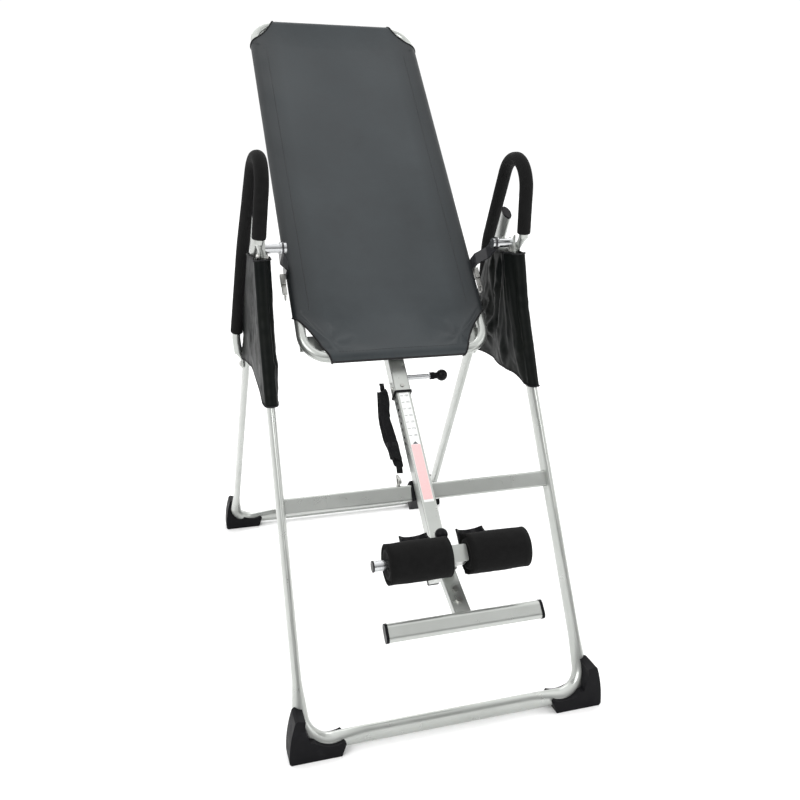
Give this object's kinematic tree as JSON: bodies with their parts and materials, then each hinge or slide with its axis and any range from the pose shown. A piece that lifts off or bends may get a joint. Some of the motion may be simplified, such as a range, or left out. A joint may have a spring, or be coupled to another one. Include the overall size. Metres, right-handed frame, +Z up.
{
  "type": "inversion table",
  "caption": "Folding inversion table: tilting fabric bed on an A-frame, with looped foam handles, a telescoping boom, and an ankle clamp with foam rollers and a footrest bar.",
  "frame": {"origin": "on the floor, under the middle of the whole object's footprint", "axes": "+Z up, -Y to the front where the user steps on, X across the machine"},
  "size_m": [0.7774, 1.3369, 1.6135],
  "materials": {
    "painted_steel": "silver-grey powder coat, satin",
    "arm_paint": "black inner face with bright ground edges",
    "zinc_steel": "zinc plated",
    "chrome_steel": "bright chrome plate",
    "black_rubber": "matte moulded rubber",
    "black_plastic": "satin moulded plastic",
    "grip_foam": "matte closed-cell foam sleeve",
    "roller_foam": "matte dense foam",
    "cover_nylon": "coated black nylon, glossy",
    "bed_nylon": "charcoal coated nylon with stitched side bands",
    "strap_webbing": "black polypropylene webbing",
    "scale_label": null
  },
  "bodies": {
    "front_frame": {"front_base_tube": "painted_steel", "crossbar": "painted_steel", "crossbar_cradle": "black_rubber", "tether_ring": "zinc_steel", "tether_hook": "zinc_steel", "front_foot_left": "black_rubber", "front_foot_right": "black_rubber", "front_leg_caps": "black_plastic", "pivot_cradles": "painted_steel", "hinge_bolts": "zinc_steel", "hinge_nuts": "zinc_steel"},
    "rear_frame": {"rear_base_tube": "painted_steel", "rear_foot_left": "black_rubber", "rear_foot_right": "black_rubber", "rear_leg_caps": "black_plastic", "hinge_ears": "painted_steel", "handle_tube_left": "painted_steel", "handle_tube_right": "painted_steel", "handle_grip_left": "grip_foam", "handle_grip_right": "grip_foam", "handle_bolts": "zinc_steel", "side_cover_left": "cover_nylon", "side_cover_right": "cover_nylon"},
    "front_brace_pair": {"front_braces": "zinc_steel"},
    "rear_brace_pair": {"rear_braces": "zinc_steel"},
    "bed": {"bed_tube": "painted_steel", "bed_fabric": "bed_nylon", "upper_bed_strap": "painted_steel", "lower_bed_strap": "painted_steel", "beam": "painted_steel", "beam_cap": "black_plastic", "beam_bushing": "black_plastic", "bushing_screws": "zinc_steel", "pivot_arms": "arm_paint", "pivot_shafts": "chrome_steel", "lock_housings": "zinc_steel", "height_pin_housing": "chrome_steel"},
    "height_pin": {"height_pin_rod": "chrome_steel", "height_pin_knob": "black_plastic"},
    "boom": {"boom": "painted_steel", "height_scale": "scale_label", "post": "painted_steel", "post_bolts": "zinc_steel", "footrest_bar": "painted_steel", "footrest_caps": "black_plastic", "clamp_sleeve": "painted_steel", "clamp_pin_housing": "chrome_steel", "ankle_bar": "painted_steel", "ankle_cups": "black_plastic"},
    "clamp": {"clamp_stem": "painted_steel", "stem_cap": "black_plastic", "roller_axle": "chrome_steel", "axle_caps": "black_plastic"},
    "clamp_pin": {"clamp_pin_rod": "chrome_steel", "clamp_pin_knob": "black_plastic"},
    "roller_left": {"ankle_roller_left": "roller_foam"},
    "roller_right": {"ankle_roller_right": "roller_foam"},
    "lock_left": {"lock_pin_left": "zinc_steel"},
    "lock_right": {"lock_pin_right": "zinc_steel"},
    "tether": {"tether_strap": "strap_webbing"}
  },
  "joints": [
    {"name": "frame_fold", "type": "hinge", "parent": "front_frame", "child": "rear_frame", "pos_m": [0, -0.121, 1.003], "axis": [1, 0, 0], "range_deg": [-58, 0], "deforming": ["side_cover_left", "side_cover_right"]},
    {"name": "front_brace_turn", "type": "hinge", "parent": "front_frame", "child": "front_brace_pair", "pos_m": [0, -0.19476, 0.76], "axis": [1, 0, 0], "range_deg": [-30, 5]},
    {"name": "rear_brace_turn", "type": "hinge", "parent": "rear_frame", "child": "rear_brace_pair", "pos_m": [0, 0.15644, 0.76], "axis": [1, 0, 0], "range_deg": [-95, 5]},
    {"name": "bed_tilt", "type": "hinge", "parent": "front_frame", "child": "bed", "pos_m": [0, -0.1147, 1.0204], "axis": [-1, 0, 0], "range_deg": [0, 139]},
    {"name": "boom_slide", "type": "slide", "parent": "bed", "child": "boom", "axis": [0, -0.7071, -0.7071], "range_m": [-0.126, 0.072]},
    {"name": "height_pin_pull", "type": "slide", "parent": "bed", "child": "height_pin", "axis": [1, 0, 0], "range_m": [-0.004, 0.008]},
    {"name": "clamp_slide", "type": "slide", "parent": "boom", "child": "clamp", "axis": [0, -0.7547, 0.6561], "range_m": [-0.0125, 0.0375]},
    {"name": "clamp_pin_pull", "type": "slide", "parent": "boom", "child": "clamp_pin", "axis": [0, 0.6561, 0.7547], "range_m": [-0.004, 0.008]},
    {"name": "roller_left_spin", "type": "hinge", "parent": "clamp", "child": "roller_left", "pos_m": [0, -0.59398, 0.43003], "axis": [1, 0, 0], "continuous": true},
    {"name": "roller_right_spin", "type": "hinge", "parent": "clamp", "child": "roller_right", "pos_m": [0, -0.59398, 0.43003], "axis": [1, 0, 0], "continuous": true},
    {"name": "lock_left_pull", "type": "slide", "parent": "bed", "child": "lock_left", "axis": [0, -0.6561, -0.7547], "range_m": [0, 0.008]},
    {"name": "lock_right_pull", "type": "slide", "parent": "bed", "child": "lock_right", "axis": [0, -0.6561, -0.7547], "range_m": [0, 0.008]},
    {"name": "tether_swing", "type": "hinge", "parent": "bed", "child": "tether", "pos_m": [0, -0.12387, 0.68122], "axis": [-1, 0, 0], "range_deg": [-190, 0]}
  ],
  "couplings": [
    {"joint": "front_brace_turn", "follows": "frame_fold", "ratio": 0.388},
    {"joint": "rear_brace_turn", "follows": "frame_fold", "ratio": 1.476},
    {"joint": "tether_swing", "follows": "bed_tilt", "ratio": -1.31}
  ]
}
